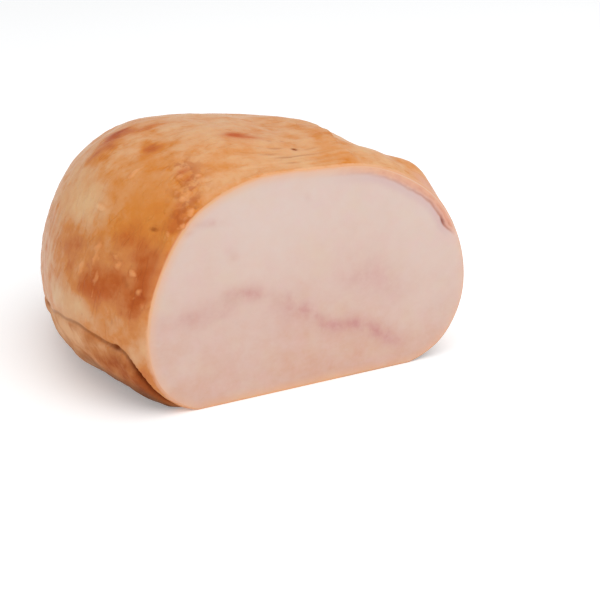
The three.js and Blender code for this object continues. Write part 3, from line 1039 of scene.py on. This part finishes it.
kept = given["Breast"]
for name, value, kind in (
    ("place", position, "FLOAT_VECTOR"),
    ("puckered", puckered, "FLOAT"),
    ("raised", raised, "FLOAT"),
    ("wrinkle", times(wrinkle_noise, read_attribute("wrinkled")), "FLOAT"),
):
    named = {"Name": name, "Value": value}
    kept = step("GeometryNodeStoreNamedAttribute", kept, named, data_type=kind, domain="POINT")
moved = step("GeometryNodeSetPosition", kept, {"Offset": shift})
smoothed = step("GeometryNodeSetShadeSmooth", moved)
all_skin = step("GeometryNodeSetMaterial", smoothed, {"Material": given["Skin"]})
on_cut = read_attribute("on_cut", "BOOLEAN")
with_meat = step("GeometryNodeSetMaterial", all_skin, {"Selection": on_cut, "Material": given["Meat"]})
real = step("GeometryNodeRealizeInstances", with_meat)
feed(relief.nodes.new("NodeGroupOutput").inputs[0], real)
print("relief tree:", len(relief.nodes), "nodes")

# %% [markdown]
# ## Shader groups that both materials use
#
# Skin and meat both vary in soft clouds and in fibres drawn out in one direction, so both effects
# are built once as node groups with named inputs, and so are the skin's finest creases. Positions
# come in millimetres, so a size of 8 means clouds about 8 mm across. The groups give out plain
# values, and each material decides what to do with them.

# %% Soft clouds, drawn fibres and fine creases


def value_group(name, inputs):
    """A shader group with one output, a plain value; tuples make vector inputs."""
    group = bpy.data.node_groups.new(name, "ShaderNodeTree")
    for label, value in inputs.items():
        new_input(group, label, "NodeSocketVector" if isinstance(value, tuple) else "NodeSocketFloat", value)
    group.interface.new_socket(name="Value", in_out="OUTPUT", socket_type="NodeSocketFloat")
    return group, group.nodes.new("NodeGroupInput").outputs, group.nodes.new("NodeGroupOutput").inputs[0]


def noise_at(place, **inputs):
    return add(place.id_data, "ShaderNodeTexNoise", {"Vector": place, **inputs}).outputs


soft_clouds, cloud, cloud_value = value_group("soft_clouds", {
    "Place": (0.0, 0.0, 0.0), "Size": 10.0, "Detail": 3.0, "Roughness": 0.55, "Contrast": 1.6,
})
cloud_scale = calc("DIVIDE", 1.0, cloud["Size"])
cloud_noise = noise_at(
    cloud["Place"], Scale=cloud_scale, Detail=cloud["Detail"], Roughness=cloud["Roughness"])
feed(cloud_value, times(minus(cloud_noise[0], 0.5), cloud["Contrast"]))

drawn_fibres, fibre, fibre_value = value_group("drawn_fibres", {
    "Place": (0.0, 0.0, 0.0), "Spacing": (20.0, 2.5, 20.0), "Wander": 3.0, "Contrast": 1.6,
})
wander = noise_at(fibre["Place"], Scale=0.045, Detail=2.0)["Color"]
wander = vector_scale(vector_calc("SUBTRACT", wander, (0.5, 0.5, 0.5)), fibre["Wander"])
wandered = vector_calc("ADD", fibre["Place"], wander)
drawn_out = vector_calc("DIVIDE", wandered, fibre["Spacing"])
fibre_noise = noise_at(drawn_out, Scale=1.0, Detail=3.0, Roughness=0.6)
feed(fibre_value, times(minus(fibre_noise[0], 0.5), fibre["Contrast"]))

fine_creases, line, line_value = value_group("fine_creases", {
    "Place": (0.0, 0.0, 0.0), "Spacing": (20.0, 4.0, 20.0), "Width": 0.05,
})
stretched = vector_calc("DIVIDE", line["Place"], line["Spacing"])
line_noise = noise_at(stretched, Scale=1.0, Detail=2.5, Roughness=0.55, Distortion=0.4)[0]
off_line = calc("ABSOLUTE", minus(line_noise, 0.5))
line_places = remap(noise_at(line["Place"], Scale=0.09, Detail=2.0)[0], 0.42, 0.6)
feed(line_value, times(remap(off_line, 0.0, line["Width"], 1.0, 0.0), line_places))
print("shader groups:", soft_clouds.name, drawn_fibres.name, fine_creases.name)

# %% [markdown]
# ## How a material is built
#
# A surface here is a material in the making. It reads the attributes of the mesh, and it asks the
# groups for clouds and fibres. Its colour is made like a painting: one ground colour, and
# over it layer after layer, each with the share that it covers. Colours are written as a screen
# shows them, from 0 to 255, and turned into the linear values that a shader needs.

# %% Helpers for the materials


def srgb(colour):
    """A screen's colour as a shader needs it; a colour that comes from a node is passed on."""
    if isinstance(colour, bpy.types.NodeSocket):
        return colour
    parts = [value / 255 for value in colour]
    return [p / 12.92 if p < 0.04045 else ((p + 0.055) / 1.055) ** 2.4 for p in parts] + [1.0]


def blend(share, under, over):
    inputs = {0: share, 6: under, 7: over}
    return add(share.id_data, "ShaderNodeMix", inputs, data_type="RGBA", clamp_factor=True).outputs[2]


def layered(colour, layers):
    """Lay colours over a ground, each by its share; the topmost comes last."""
    for share, layer in layers:
        colour = blend(share, srgb(colour), srgb(layer))
    return colour


def ramp(value, stops):
    node = add(value.id_data, "ShaderNodeValToRGB", {"Fac": value})
    elements = node.color_ramp.elements
    stops = [(place, srgb(colour)) for place, colour in stops]
    elements[0].position, elements[0].color = stops[0]
    elements[1].position, elements[1].color = stops[-1]
    for place, colour in stops[1:-1]:
        elements.new(place).color = colour
    return node.outputs["Color"]


class Surface:
    """A material in the making, with its places in millimetres from an attribute or the object."""

    def __init__(self, name, place_name=None):
        self.material = bpy.data.materials.new(name)
        self.material.use_nodes = True
        self.tree = self.material.node_tree
        if place_name:
            self.place = self.read(place_name, "Vector")
        else:
            self.place = vector_scale(self.tree.nodes.new("ShaderNodeTexCoord").outputs["Object"], 1 / MM)

    def read(self, name, output="Fac"):
        return add(self.tree, "ShaderNodeAttribute", attribute_name=name).outputs[output]

    def from_group(self, group, inputs, place=None):
        inputs = {"Place": place or self.place, **inputs}
        return add(self.tree, "ShaderNodeGroup", inputs, node_tree=group).outputs[0]

    def clouds(self, size, contrast, detail=3.0, roughness=0.55, place=None):
        inputs = {"Size": size, "Detail": detail, "Roughness": roughness, "Contrast": contrast}
        return self.from_group(soft_clouds, inputs, place)

    def fibres(self, spacing, wander, contrast):
        return self.from_group(drawn_fibres, {"Spacing": spacing, "Wander": wander, "Contrast": contrast})

    def bump(self, height, strength, distance):
        inputs = {"Height": height, "Strength": strength, "Distance": distance}
        return add(self.tree, "ShaderNodeBump", inputs).outputs[0]

    def finish(self, inputs):
        for name, value in inputs.items():
            feed(self.tree.nodes["Principled BSDF"].inputs[name], value)
        print(self.material.name + ":", len(self.tree.nodes), "nodes")


# %% [markdown]
# ## Roasted skin
#
# Browning is a single number here: 0 is pale skin with the fat showing through, 1 is dark amber.
# The soft spots set its level, and clouds and fibres drawn round the body break it up, so one
# colour ramp gives every shade between tan and brown. Blush, scars, blisters and the crease are
# laid over that, with painted light and shade: painted highlights on the raised ridges and beads,
# painted shade beside them, in the hem's crease, where the meat turns under and low on the flank.
# The gloss is a thin coat of fat over a softer surface, uneven like the browning.

# %% The skin's browning
BASE_BROWNING = 0.42
roasted = Surface("roasted_skin", "place")
fine_lines = roasted.from_group(fine_creases, {"Spacing": (20.0, 6.0, 20.0), "Width": 0.05})
mottle = plus(
    roasted.clouds(30.0, 0.45, detail=4.0),
    roasted.clouds(8.0, 0.5, detail=5.0, roughness=0.62),
    roasted.fibres((12.0, 6.0, 12.0), wander=16.0, contrast=0.12),
    times(roasted.read("puckered"), -0.16),
    remap(roasted.clouds(13.0, 1.0, detail=4.0, roughness=0.6), -0.08, 0.08, -0.05, 0.05),
    times(fine_lines, 0.07),
)
stripes = times(roasted.fibres((34.0, 7.0, 34.0), wander=14.0, contrast=1.3), roasted.read("striped"))
raised_here = roasted.read("raised")
# Painted shade: a thin browner ring beside the raised bits.
shade_beside_raised = times(remap(raised_here, 0.03, 0.2), remap(raised_here, 0.25, 0.5, 1.0, 0.0))
tone = plus(
    roasted.read("browning"),
    BASE_BROWNING,
    times(mottle, minus(1.0, times(roasted.read("even"), 0.8))),
    plus(stripes, times(roasted.read("wrinkle"), -0.4)),
    times(shade_beside_raised, 0.04),
)
skin_colour = ramp(tone, [
    (0.0, (221, 176, 129)),
    (0.25, (216, 160, 112)),
    (0.5, (208, 129, 56)),
    (0.7, (192, 105, 42)),
    (0.86, (179, 87, 28)),
    (1.0, (168, 74, 20)),
])
height_up = height_of(roasted.place)
# Painted shade: lower on the flank the skin turns duller and greyer.
painted_shade_below = times(remap(height_up, 78.0, 92.0, 0.14, 0.0), remap(tone, 0.55, 0.85, 1.0, 0.25))

# %% Blush, blisters, ridges with a painted highlight, and the meat below the hem with painted shade
blushing = roasted.read("blush")
dark_blister = times(roasted.read("blisters"), remap(roasted.clouds(5.0, 1.0), -0.05, 0.1), 0.5)
# Painted highlight: raised ridges and beads, and small spots, are painted pale.
painted_highlight = remap(plus(raised_here, roasted.clouds(2.4, 0.5)), 0.15, 0.9, 0.0, 0.7)
painted_highlight_colour = layered((238, 192, 142), [(remap(tone, 0.1, 0.42), (230, 156, 98))])

under_grain = roasted.fibres((9.0, 4.0, 9.0), wander=12.0, contrast=0.7)
under_tone = plus(roasted.clouds(15.0, 1.6, detail=4.0), under_grain, 0.44, roasted.read("browning"))
underside_colour_and_shade = ramp(under_tone, [
    (0.0, (214, 162, 120)),
    (0.4, (186, 120, 72)),
    (0.75, (156, 80, 40)),
    (1.0, (132, 62, 30)),
])
# Painted shade over the meat's own colour: darker where it turns under and towards the table.
underside_colour_and_shade = layered(underside_colour_and_shade, [
    (times(roasted.read("underside_shade"), 0.92), (104, 62, 40)),
    (remap(height_up, 0.0, 13.0, 0.95, 0.0), (72, 40, 26)),
])
below = times(roasted.read("below_hem"), 0.85)

# %% Painted shade in the crease, scars, and the rim's edge with a painted highlight
inside = plus(roasted.read("from_rim"), roasted.read("rim_light"))
# The rim's bright line: the skin's edge in its own peach, partly lit as a painted highlight.
rim_edge_and_highlight = remap(plus(inside, roasted.clouds(7.0, 2.0, detail=4.0)), -0.5, 0.5, 0.0, 0.8)
rim_edge_and_highlight_colour = layered((210, 164, 146), [(roasted.read("skin_shows"), (226, 172, 128))])
from_crease = roasted.read("from_hem")
off_crease = calc("ABSOLUTE", plus(from_crease, roasted.clouds(5.0, 0.8)))
crease_here = roasted.read("crease")
# Painted shade in the hem's crease and on the wall of its crack.
crease_side_shade = times(remap(off_crease, 0.4, 3.0, 0.35, 0.0), crease_here)
crease_line_shade = times(remap(off_crease, 0.3, 1.4, 0.9, 0.0), crease_here)
crack_wall_shade = times(
    remap(from_crease, -3.2, -0.4, 0.0, 0.8),
    remap(crease_here, 0.45, 0.95),
    remap(from_crease, 0.1, 0.8, 1.0, 0.0),
)
scarred = remap(roasted.read("scars"), 0.1, 0.85, 0.0, 0.9)
skin_colour = layered(skin_colour, [
    (painted_shade_below, (182, 146, 130)),
    (blushing, (186, 90, 42)),
    (dark_blister, (166, 78, 34)),
    (painted_highlight, painted_highlight_colour),
    (below, underside_colour_and_shade),
    (times(roasted.read("drawn_back"), 0.9), (214, 160, 134)),
    (rim_edge_and_highlight, rim_edge_and_highlight_colour),
    (crease_side_shade, (180, 92, 52)),
    (crack_wall_shade, (132, 60, 20)),
    (crease_line_shade, (108, 42, 8)),
    (scarred, (130, 52, 8)),
])

# %% The skin's gloss and its finest wrinkles
coat = times(
    calc("MULTIPLY_ADD", painted_highlight, 0.2, 0.22),
    minus(1.0, below),
    remap(off_crease, 0.5, 4.0),
    remap(tone, 0.65, 1.0, 1.0, 0.3),
    remap(blushing, 0.2, 0.8, 1.0, 0.2),
    minus(1.0, scarred),
)
fine_streaks = roasted.fibres((6.0, 1.6, 6.0), wander=10.0, contrast=0.28)
fine_height = plus(roasted.clouds(1.6, 0.5), fine_streaks, times(fine_lines, -0.8))
roasted.finish({
    "Base Color": skin_colour,
    "Roughness": plus(roasted.clouds(16.0, 0.6, detail=4.0), 0.42, times(below, 0.25), times(scarred, 0.5)),
    "Coat Weight": coat,
    "Coat Roughness": 0.2,
    "Specular IOR Level": 0.1,
    "IOR": 1.25,
    "Subsurface Weight": 0.12,
    "Subsurface Radius": (1.0, 0.45, 0.2),
    "Subsurface Scale": 0.003,
    "Normal": roasted.bump(fine_height, strength=0.5, distance=0.0005),
})

# %% [markdown]
# ## Sliced meat
#
# Cooked breast meat is pale pink and almost even. It turns a little warmer and darker towards the
# table, partly its own colour and partly painted shade; a faint darker streak of marbling crosses it,
# and faint clouds and short fibres break it up. The outermost millimetre is the skin seen from its
# edge, in the same peach as the rim, and the layer outside the seam is warmer and finely streaked,
# with painted shade in the seam and its hole. It is moist, with light scattering inside.

# %% Clouds, fibres and marbling
sliced = Surface("sliced_meat", "place")
meat_across, _, meat_up = add(sliced.tree, "ShaderNodeSeparateXYZ", {0: sliced.place}).outputs
grain = sliced.fibres((5.0, 9.0, 2.6), wander=9.0, contrast=0.2)
# Warmer and darker towards the table: partly the meat's own colour, partly painted shade.
warmth_and_shade = plus(
    remap(meat_up, 2.0, 96.0, 0.9, 0.15, smooth=False),
    sliced.clouds(38.0, 0.6),
    remap(meat_across, 35.0, 85.0, 0.0, -0.12),
    plus(sliced.clouds(8.0, 0.55, detail=6.0, roughness=0.65), grain),
)
meat_colour = ramp(warmth_and_shade, [
    (0.0, (213, 191, 181)),
    (0.3, (212, 186, 174)),
    (0.6, (209, 178, 165)),
    (1.0, (203, 157, 134)),
])
broken = sliced.clouds(11.0, 2.2, detail=5.0, roughness=0.65)
streak = times(sliced.read("marbling"), plus(broken, 0.55, clamp=True))
rosy = sliced.clouds(15.0, 2.4, detail=4.0, roughness=0.6)
elsewhere = vector_calc("ADD", sliced.place, (60.0, 20.0, 90.0))
sallow = sliced.clouds(17.0, 2.4, detail=4.0, place=elsewhere)

# %% The outer layer, the seam and its hole with painted shade, and the skin's edge
off_seam = sliced.read("from_seam")
course_here = sliced.read("seam_course")
open_here = sliced.read("seam_open")
outer_layer = times(remap(off_seam, -1.2, 0.6, 1.0, 0.0), course_here, 0.9)
layer_share = plus(sliced.clouds(4.5, 3.6, detail=4.0), 0.5, clamp=True)
layer_colour = layered((221, 169, 139), [
    (layer_share, (206, 138, 117)),
    (times(open_here, 0.8), (214, 152, 128)),
])
off_seam = plus(off_seam, sliced.clouds(9.0, 3.0))
shadow = times(remap(calc("ABSOLUTE", minus(off_seam, 1.6)), 0.0, 4.4, 0.6, 0.0), course_here)
# Painted shade: dark lines in the seam's groove, strongest where it opens.
seam_shade = remap(calc("ABSOLUTE", off_seam), 0.0, 1.3, 0.72, 0.0)
second_seam_shade = remap(calc("ABSOLUTE", plus(off_seam, 2.2)), 0.0, 0.8, 0.6, 0.0)
second_seam_shade = times(second_seam_shade, plus(sliced.clouds(3.0, 3.0), 0.4, clamp=True))
seam_shade = times(calc("MAXIMUM", seam_shade, second_seam_shade), open_here)

at_edge = plus(sliced.read("from_rim"), sliced.read("rim_light"))
from_edge = plus(at_edge, sliced.clouds(8.0, 1.6, detail=4.0))
skin_here = sliced.read("skin_shows")
meat_colour = layered(meat_colour, [
    (streak, (194, 140, 132)),
    (times(rosy, 0.7, clamp=True), (214, 178, 174)),
    (times(sallow, 0.7, clamp=True), (212, 190, 168)),
    (outer_layer, layer_colour),
    (shadow, (202, 168, 167)),
    (seam_shade, (184, 110, 84)),
    # Painted shade in the hole.
    (times(sliced.read("hole_shade"), 0.9), (150, 76, 62)),
    (times(remap(from_edge, 0.3, 6.6, 0.68, 0.0), skin_here), (222, 172, 134)),
    (times(remap(from_edge, 0.3, 2.2, 0.9, 0.0), skin_here), (222, 166, 118)),
    (times(remap(at_edge, -0.3, 0.3, 0.8, 0.0), skin_here), (204, 124, 66)),
])

# %% The meat's moist surface
sliced.finish({
    "Base Color": meat_colour,
    "Roughness": plus(sliced.clouds(12.0, 0.4, detail=4.0), 0.5),
    "Subsurface Weight": 0.35,
    "Subsurface Radius": (1.0, 0.5, 0.35),
    "Subsurface Scale": 0.006,
    "Normal": sliced.bump(plus(sliced.clouds(1.2, 0.6), grain), strength=0.25, distance=0.0003),
})

# %% [markdown]
# ## Run the tree and keep the result
#
# The modifier gets its sizes and materials by the identifiers of the tree's sockets, and then the
# evaluated object is copied to a plain mesh. From here on the breast is an ordinary object that
# needs no modifier.

# %% The finished breast
modifier = raw_breast.modifiers.new("relief", "NODES")
modifier.node_group = relief
for name, value in {**RELIEF_INPUTS, "Skin": roasted.material, "Meat": sliced.material}.items():
    modifier[relief_sockets[name].identifier] = value

depsgraph = bpy.context.evaluated_depsgraph_get()
finished = bpy.data.meshes.new_from_object(raw_breast.evaluated_get(depsgraph), depsgraph=depsgraph)
raw_breast.modifiers.remove(modifier)
bpy.data.objects.remove(raw_breast)
breast = new_object("roasted_turkey_breast", finished)
print("finished breast:", len(finished.vertices), "points, materials", [m.name for m in finished.materials])

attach(breast, "root")
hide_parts("turkey_breast")

# %% [markdown]
# ## Floor, light and camera
#
# The breast lies on a plain pale floor under soft light from large panels, as in a small studio:
# one above and to the right, one low on the left, and a bright even surround that keeps the
# shadows open. The camera stands where the picture was taken, a little above and to the left.

# %% The floor
FLOOR_HALF = 6.0
corners = [(FLOOR_HALF * x, FLOOR_HALF * y, 0) for x, y in ((-1, -1), (1, -1), (1, 1), (-1, 1))]
floor_mesh = bpy.data.meshes.new("studio_floor")
floor_mesh.from_pydata(corners, [], [(0, 1, 2, 3)])
floor = new_object("studio_floor", floor_mesh)
pale = Surface("pale_floor")
shade = plus(pale.clouds(400.0, 0.5, detail=2.0), 0.5)
floor_colour = blend(shade, (0.88, 0.885, 0.89, 1), (0.92, 0.925, 0.93, 1))
pale.finish({
    "Base Color": floor_colour,
    "Emission Color": floor_colour,
    "Emission Strength": 0.26,
    "Roughness": 0.9,
    "Specular IOR Level": 0.1,
})
floor_mesh.materials.append(pale.material)
floor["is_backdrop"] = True

# %% The lights
world = bpy.data.worlds.new("bright_surround")
bpy.context.scene.world = world
world.use_nodes = True
surround = world.node_tree.nodes["Background"].inputs
surround["Color"].default_value = (1.0, 1.0, 1.0, 1)
surround["Strength"].default_value = 0.6


def soft_panel(name, place, aim, size, power):
    light = bpy.data.lights.new(name, "AREA")
    light.shape = "DISK"
    light.size = size
    light.energy = power
    panel = new_object(name, light)
    panel.location = place
    panel.rotation_euler = (Vector(aim) - Vector(place)).to_track_quat("-Z", "Y").to_euler()


aim = (0, 0, 0.06)
soft_panel("panel_above", (0.2, -0.7, 1.5), aim, 2.2, 19)
soft_panel("panel_low_left", (-1.3, -0.5, 0.22), aim, 0.9, 0.55)
bpy.context.scene.view_settings.view_transform = "Standard"

# %% The camera
CAMERA_PLACE = (-0.2958, -0.66267, 0.309)
CAMERA_TILT = 68.0
CAMERA_TURN = -27.7
CAMERA_SPAN = 24.0
camera_data = bpy.data.cameras.new("camera")
camera_data.angle = math.radians(CAMERA_SPAN)
camera = new_object("camera", camera_data)
camera.location = CAMERA_PLACE
camera.rotation_euler = (math.radians(CAMERA_TILT), 0, math.radians(CAMERA_TURN))
bpy.context.scene.camera = camera

# %% [markdown]
# ## Measure and finish
#
# The finished breast has to be as large as the frame says. Both boxes are written down side by
# side, so that they can be compared.

# %% Boxes, and the end
size = {"frame": frame_box, "breast": [list(corner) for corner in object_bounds()]}
for name, corners in size.items():
    print(name, [round((b - a) * 1000, 1) for a, b in zip(*corners)], "mm")
